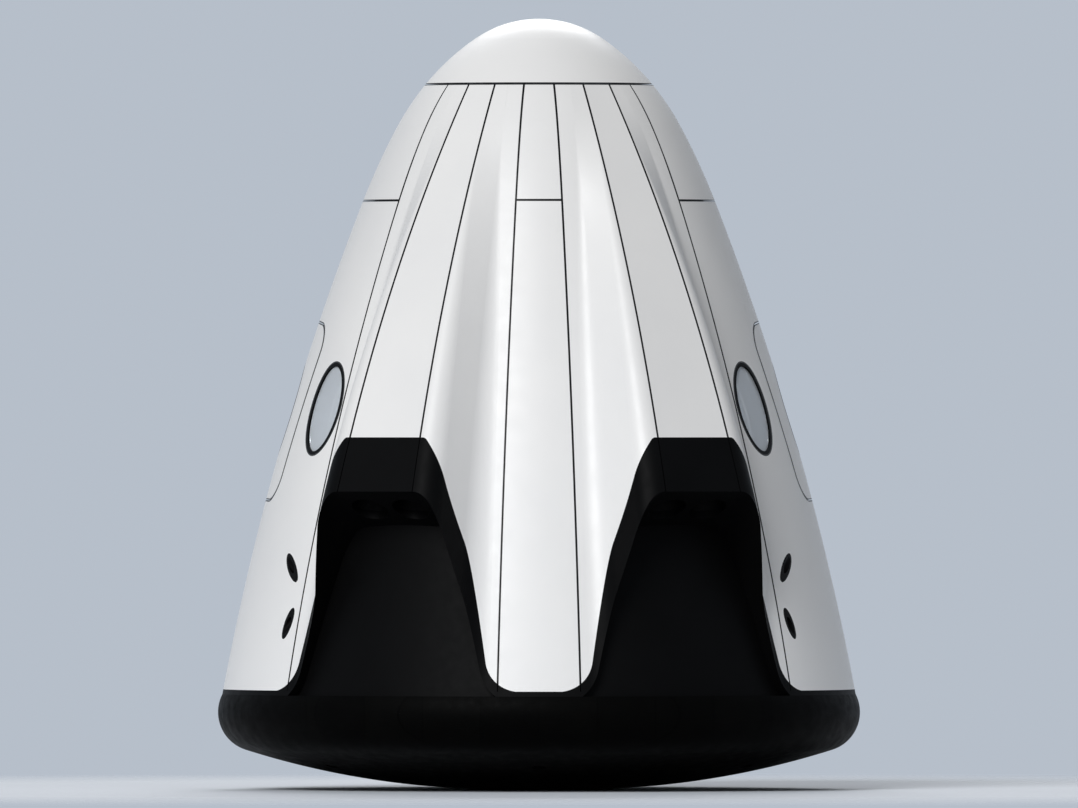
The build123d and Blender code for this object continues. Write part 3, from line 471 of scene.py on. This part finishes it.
def ablator():
    """Heat shield of close-fitted black blocks with a grainy face."""
    material, shader = principled("ablator", Specular_IOR_Level=0.02)
    blocks = add_node(
        material,
        "ShaderNodeTexBrick",
        Vector=place(material),
        Color1=(0.0011, 0.0011, 0.0011, 1.0),
        Color2=(0.0017, 0.0017, 0.0016, 1.0),
        Mortar=(0.0006, 0.0006, 0.0006, 1.0),
        Scale=1.0,
        Mortar_Size=SHIELD_JOINT_HALF,
        Brick_Width=SHIELD_BLOCK,
        Row_Height=SHIELD_BLOCK,
    )
    blocks.offset = 0.0
    cloud = tint(material, noise(material, scale=9.0), (0.7, 0.7, 0.7), (1.3, 1.3, 1.3))
    shaded = add_node(
        material, "ShaderNodeMixRGB", Fac=1.0, Color1=blocks.outputs["Color"], Color2=cloud
    )
    shaded.blend_type = "MULTIPLY"
    feed_named(
        material,
        shader,
        Base_Color=shaded.outputs["Color"],
        Roughness=between(material, noise(material, scale=14.0), low=0.40, high=0.55),
    )
    relief(material, shader, noise(material, scale=300.0, detail=3.0), depth=0.0005)
    return material


def nozzle_metal():
    """Dark metal of the nozzles, stained by heat."""
    return mottled(
        "nozzle_metal",
        colours=((0.0018, 0.0018, 0.0021), (0.0042, 0.0038, 0.0036)),
        patch=9.0,
        rough=(0.45, 0.60),
        grain=380.0,
        depth=0.0003,
        Metallic=0.6,
        Specular_IOR_Level=0.08,
    )


def frame_black():
    """Satin black of the window rings."""
    return mottled(
        "frame_black",
        colours=((0.0015, 0.0015, 0.0015), (0.0025, 0.0025, 0.0028)),
        patch=6.0,
        rough=(0.48, 0.56),
        grain=500.0,
        depth=0.0002,
        Specular_IOR_Level=0.08,
    )


def brushed(name, colours, rough, grain):
    """Bare metal with grain that runs up the piece, given by its scale along each axis."""
    material, shader = principled(name, Metallic=1.0)
    lines = noise(material, scale=1.0, detail=3.0, where=stretched(material, grain))
    feed_named(
        material,
        shader,
        Base_Color=tint(material, lines, *colours),
        Roughness=between(material, lines, *rough),
    )
    relief(material, shader, lines, depth=0.0002)
    return material


def hinge_steel():
    """Bright steel of the hinges and buckles."""
    return brushed(
        "hinge_steel",
        colours=((0.42, 0.42, 0.44), (0.58, 0.58, 0.60)),
        rough=(0.28, 0.42),
        grain=(900, 900, 60),
    )


def bare_alloy():
    """Pale alloy, with a coarser grain."""
    return brushed(
        "bare_alloy",
        colours=((0.52, 0.53, 0.54), (0.66, 0.67, 0.68)),
        rough=(0.32, 0.46),
        grain=(420, 420, 30),
    )


def window_glass():
    """Thick pale blue pane with a faint haze."""
    material, shader = principled(
        "window_glass", Transmission_Weight=0.40, IOR=1.45, Specular_IOR_Level=0.5
    )
    haze = noise(material, scale=5.0)
    feed_named(
        material,
        shader,
        Base_Color=tint(material, haze, (0.76, 0.81, 0.87), (0.80, 0.85, 0.90)),
        Roughness=between(material, noise(material, scale=30.0), low=0.02, high=0.06),
    )
    return material


def seat_shell():
    """Dark composite shell with a close woven look."""
    material, shader = principled("seat_shell", Coat_Weight=0.3, Coat_Roughness=0.2)
    weave = add_node(
        material,
        "ShaderNodeTexChecker",
        Vector=place(material),
        Color1=(0.012, 0.012, 0.013, 1.0),
        Color2=(0.030, 0.030, 0.032, 1.0),
        Scale=240.0,
    )
    feed_named(
        material,
        shader,
        Base_Color=weave.outputs["Color"],
        Roughness=between(material, noise(material, scale=12.0), low=0.34, high=0.48),
    )
    return material


def console_shell():
    """Pale moulded composite."""
    return mottled(
        "console_shell",
        colours=((0.60, 0.61, 0.62), (0.66, 0.67, 0.68)),
        patch=4.0,
        rough=(0.40, 0.52),
        grain=700.0,
        depth=0.0003,
    )


def screen_glass():
    """Dark display that shows a faint grid of lines."""
    material, shader = principled(
        "screen_glass",
        Roughness=0.12,
        Base_Color=(0.004, 0.005, 0.008, 1.0),
        Emission_Strength=1.0,
    )
    lines = add_node(
        material,
        "ShaderNodeTexBrick",
        Vector=place(material),
        Color1=(0.004, 0.012, 0.030, 1.0),
        Color2=(0.006, 0.030, 0.055, 1.0),
        Mortar=(0.05, 0.22, 0.35, 1.0),
        Scale=1.0,
        Mortar_Size=SCREEN_LINE_HALF,
        Brick_Width=SCREEN_CELL_WIDTH,
        Row_Height=SCREEN_CELL_HEIGHT,
    )
    feed_named(material, shader, Emission_Color=lines.outputs["Color"])
    return material


def pad_fabric():
    """Grey woven cover of the seats' pads."""
    material, shader = principled("pad_fabric", Sheen_Weight=0.25, Sheen_Roughness=0.5)
    threads = []
    for direction in ("X", "Y"):
        wave = add_node(material, "ShaderNodeTexWave", Vector=place(material), Scale=190.0)
        wave.bands_direction = direction
        threads.append(wave.outputs["Fac"])
    height = maths(material, "MULTIPLY", *threads)
    feed_named(
        material,
        shader,
        Base_Color=tint(material, height, (0.085, 0.088, 0.095), (0.15, 0.155, 0.165)),
        Roughness=between(material, noise(material, scale=20.0), low=0.75, high=0.9),
    )
    relief(material, shader, height, depth=0.0008)
    return material


def webbing():
    """Dark ribbed webbing of the harness."""
    material, shader = principled("webbing", Sheen_Weight=0.15, Sheen_Roughness=0.5)
    ribs = add_node(material, "ShaderNodeTexWave", Vector=place(material), Scale=260.0)
    ribs.bands_direction = "DIAGONAL"
    weave = ribs.outputs["Fac"]
    feed_named(
        material,
        shader,
        Base_Color=tint(material, weave, (0.012, 0.013, 0.016), (0.035, 0.037, 0.042)),
        Roughness=between(material, noise(material, scale=40.0), low=0.6, high=0.8),
    )
    relief(material, shader, weave, depth=0.0005)
    return material


FINISHES = {
    made.__name__: made()
    for made in (
        white_paint,
        ablator,
        black_coating,
        nozzle_metal,
        window_glass,
        frame_black,
        hinge_steel,
        bare_alloy,
        seat_shell,
        console_shell,
        screen_glass,
    )
}


def own_finishes():
    """Finishes of the solids that have their own painted lines, painted shade or lining, by node.
    """
    cap = white_paint_with_painted_shade_and_sealant("cap_white", level_seam_shade_and_sealant(*NOSE_SEAM))
    hatch = white_paint_with_painted_shade_and_sealant("hatch_white", opening_edge_painted_shade_mask, hatch_gap_shade_and_seal, window_seal(HATCH_FROM_FRONT))
    wall = white_paint_with_painted_shade_and_sealant(
        "wall_white",
        seam_shade_and_sealant_mask,
        opening_edge_painted_shade_mask,
        level_seam_shade_and_sealant(*NOSE_SEAM),
        level_seam_shade_and_sealant(*UPPER_SEAM),
        hatch_gap_shade_and_seal,
        window_seal(WINDOW_FROM_FRONT),
    )
    bay = lined_black()
    finishes = {"nose_cap": cap, "right_hatch": hatch, "left_hatch": hatch}
    for side in ("front_panel", "rear_panel", "right_wall", "left_wall"):
        for level in ("lower", "upper"):
            finishes[f"{side}_{level}"] = wall
    for node in frame["nodes"]:
        if node.startswith("bay_wall"):
            finishes[node] = bay
    return finishes


def dress_solids():
    """Gives each solid its own finish, or else its slot's."""
    own = own_finishes()
    for part in frame["record"]["subparts"]:
        solid = frame["nodes"][part["node"]]
        solid.data.materials.clear()
        solid.data.materials.append(own.get(part["node"], FINISHES[part["material_slot"]]))


# Seats: crowned pads with sewn channels on each straight run of the shell, and a harness


def add_object(name, data):
    """New object in the scene."""
    made = bpy.data.objects.new(name, data)
    bpy.context.scene.collection.objects.link(made)
    return made


def run_axes(run, room_start, room_end):
    """Foot, direction, upward side and length of a pad, for a seat in the middle of the cabin."""
    ends = SEAT_LINE[run : run + 2]
    start, end = (Vector((0, SEAT_HIP[0] + y, SEAT_HIP[1] + z)) for y, z in ends)
    ahead = (end - start).normalized()
    up = Vector((0, -ahead.z, ahead.y))
    foot = start + ahead * room_start + up * (SEAT_SHELL + PAD_CLEAR)
    return foot, ahead, up, (end - start).length - room_start - room_end


def pad_roll(along, length, across):
    """Rolled edge of a pad: nought at its rim and one past the roll."""
    edge = min(along, length - along, PAD_WIDTH / 2 - abs(across))
    return sqrt(max(0.0, 1.0 - (1.0 - min(edge / PAD_ROLL, 1.0)) ** 2))


def pad_crown(across):
    """Height of a pad's crowned cover, away from its edges."""
    return PAD_THICK * (1.0 - PAD_CROWN * (2.0 * across / PAD_WIDTH) ** 2)


def pad_height(along, length, across):
    """Height of the pad's cover: rolled at its edges, with channels sewn across it."""
    channels = max(1, round(length / CHANNEL_PITCH))
    seams = [length * number / channels for number in range(1, channels)]
    near = min((abs(along - seam) for seam in seams), default=length)
    sunk = CHANNEL_DEPTH * exp(-((near / CHANNEL_HALF) ** 2))
    return pad_roll(along, length, across) * (pad_crown(across) - sunk)


def finished_mesh(shape, name, material, smooth):
    """Mesh of a closed shape, with its faces turned outwards."""
    bmesh.ops.recalc_face_normals(shape, faces=shape.faces)
    mesh = bpy.data.meshes.new(name)
    shape.to_mesh(mesh)
    shape.free()
    if smooth:
        mesh.shade_smooth()
    mesh.materials.append(material)
    return mesh


def close_tube(shape, rings):
    """Faces that join rings of points in turn, and close both ends."""
    for low, high in zip(rings, rings[1:]):
        for corner in range(len(low)):
            after = (corner + 1) % len(low)
            shape.faces.new((low[corner], low[after], high[after], high[corner]))
    shape.faces.new(rings[0][::-1])
    shape.faces.new(rings[-1])


def pad_mesh(name, material, run, room_start, room_end):
    """Closed mesh of one pad."""
    foot, ahead, up, length = run_axes(run, room_start, room_end)
    rows, columns = PAD_STEPS
    shape = bmesh.new()
    grid = []
    for row in range(rows + 1):
        along = length * row / rows
        line = []
        for column in range(columns + 1):
            across = PAD_WIDTH * (column / columns - 0.5)
            rise = pad_height(along, length, across)
            spot = foot + ahead * along + up * rise + Vector((across, 0, 0))
            line.append(shape.verts.new(spot))
        grid.append(line)
    for low, high in zip(grid, grid[1:]):
        for column in range(columns):
            shape.faces.new((low[column], low[column + 1], high[column + 1], high[column]))
    right_rim = [line[-1] for line in grid[1:-1]]
    left_rim = [line[0] for line in grid[-2:0:-1]]
    rim = grid[0] + right_rim + grid[-1][::-1] + left_rim
    shape.faces.new(rim[::-1])
    return finished_mesh(shape, name, material, smooth=True)


def harness_mesh(material, run, room_start, room_end):
    """Flat straps that lie on the back's pad, bridging its channels."""
    foot, ahead, up, length = run_axes(run, room_start, room_end)
    shape = bmesh.new()
    for start, end in STRAPS:
        way = (Vector(end) - Vector(start)).normalized()
        side = Vector((-way.y, way.x)) * STRAP_WIDTH / 2
        rings = []
        for step in range(STRAP_STEPS + 1):
            middle = Vector(start).lerp(Vector(end), step / STRAP_STEPS)
            rise = pad_roll(middle.x, length, middle.y) * pad_crown(middle.y) + STRAP_RIDE
            corners = (
                (middle - side, rise),
                (middle + side, rise),
                (middle + side, rise + STRAP_THICK),
                (middle - side, rise + STRAP_THICK),
            )
            ring = []
            for corner, height in corners:
                spot = foot + ahead * corner.x + up * height + Vector((corner.y, 0, 0))
                ring.append(shape.verts.new(spot))
            rings.append(ring)
        close_tube(shape, rings)
    return finished_mesh(shape, "harness", material, smooth=False)


def buckle_mesh(material, run, room_start, room_end):
    """Round buckle where the straps meet."""
    foot, ahead, up, _ = run_axes(run, room_start, room_end)
    seat = foot + ahead * BUCKLE_ALONG + up * (pad_crown(0.0) + STRAP_RIDE + STRAP_THICK / 2)
    shape = bmesh.new()
    rings = []
    for radius, height in BUCKLE_LINE:
        ring = []
        for step in range(BUCKLE_STEPS):
            turn = radians(360.0 * step / BUCKLE_STEPS)
            spot = ahead * radius * cos(turn) + Vector((radius * sin(turn), 0, 0))
            ring.append(shape.verts.new(seat + spot + up * height))
        rings.append(ring)
    close_tube(shape, rings)
    return finished_mesh(shape, "buckle", material, smooth=False)


def seat_piece(seat, name, mesh):
    """Object with a shared mesh on one seat, which rides with the capsule."""
    low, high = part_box(seat)
    piece = add_object(f"{seat}_{name}", mesh)
    piece.location.x = (low.x + high.x) / 2
    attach(piece, "capsule")
    return piece


def dress_seats():
    """Pads, a harness and a buckle on each seat."""
    fabric = pad_fabric()
    pad_meshes = {name: pad_mesh(f"{name}_pad", fabric, *run) for name, *run in PADS}
    back_run = next(run for name, *run in PADS if name == "back")
    harness = harness_mesh(webbing(), *back_run)
    buckle = buckle_mesh(FINISHES["hinge_steel"], *back_run)
    for seat in sorted(name for name in frame["nodes"] if name.removeprefix("seat_").isdigit()):
        for pad, mesh in pad_meshes.items():
            seat_piece(seat, f"{pad}_pad", mesh)
        seat_piece(seat, "harness", harness)
        seat_piece(seat, "buckle", buckle)


# Studio: a floor that fades into the backdrop, suns, a lamp in the cabin, and the camera


def floor():
    """Pale disc that takes the capsule's shadow and fades out towards its rim."""
    shape = bmesh.new()
    bmesh.ops.create_circle(shape, cap_ends=True, segments=FLOOR_SEGMENTS, radius=FLOOR_RADIUS)
    mesh = bpy.data.meshes.new("floor")
    shape.to_mesh(mesh)
    shape.free()
    ground = add_object("floor", mesh)
    ground.location.z = -FLOOR_DROP
    material, shader = principled("floor", Roughness=0.9, Base_Color=(*FLOOR_COLOUR, 1.0))
    reach = vector_measure(material, "LENGTH", place(material))
    fade = add_node(
        material, "ShaderNodeMapRange", Value=reach, From_Min=FLOOR_FADE, From_Max=FLOOR_RADIUS
    )
    clear = add_node(material, "ShaderNodeBsdfTransparent")
    mix = add_node(material, "ShaderNodeMixShader", Fac=fade.outputs["Result"])
    link(material, shader.outputs["BSDF"], mix.inputs[1])
    link(material, clear.outputs["BSDF"], mix.inputs[2])
    output = material.node_tree.nodes["Material Output"]
    feed_named(material, output, Surface=mix.outputs["Shader"])
    mesh.materials.append(material)


def backdrop():
    """Backdrop's colour where it is seen, and plain soft light on everything else."""
    world = bpy.data.worlds.new("studio")
    bpy.context.scene.world = world
    world.use_nodes = True
    seen = add_node(world, "ShaderNodeLightPath")
    total = seen.outputs["Is Camera Ray"]
    for ray in ("Is Glossy Ray", "Is Transmission Ray"):
        total = maths(world, "MAXIMUM", total, seen.outputs[ray])
    colour = tint(world, total, (AMBIENT,) * 3, BACKDROP)
    feed_named(world, world.node_tree.nodes["Background"], Color=colour)


def aimed_from(direction):
    """Turn of a lamp or camera that looks back along a direction."""
    return Vector(direction).to_track_quat("Z", "Y").to_euler()


def lamps():
    """Suns on the capsule, and a soft bulb in its cabin."""
    for name, direction, strength, softness in SUNS:
        sun = bpy.data.lights.new(name, "SUN")
        sun.energy = strength
        sun.angle = softness
        add_object(name, sun).rotation_euler = aimed_from(direction)
    bulb = bpy.data.lights.new("cabin_light", "POINT")
    bulb.energy = CABIN_LIGHT_WATTS
    bulb.shadow_soft_size = CABIN_LIGHT_RADIUS
    add_object("cabin_light", bulb).location = CABIN_LIGHT_PLACE


def camera():
    """Camera in front of the capsule, whose view is as wide as the photograph's."""
    lens = bpy.data.cameras.new("camera")
    lens.lens = LENS_MM
    lens.sensor_width = SENSOR_MM
    width = PHOTO_WIDTH * PHOTO_METRES_PER_PIXEL
    distance = width * LENS_MM / SENSOR_MM
    lens.clip_end = 2 * distance
    eye = add_object("camera", lens)
    eye.location = (0.0, -distance, PHOTO_CENTRE_Z)
    eye.rotation_euler = aimed_from((0, -1, 0))
    bpy.context.scene.camera = eye


dress_solids()
dress_seats()
floor()
backdrop()
lamps()
camera()
bpy.context.scene.view_settings.view_transform = "Standard"
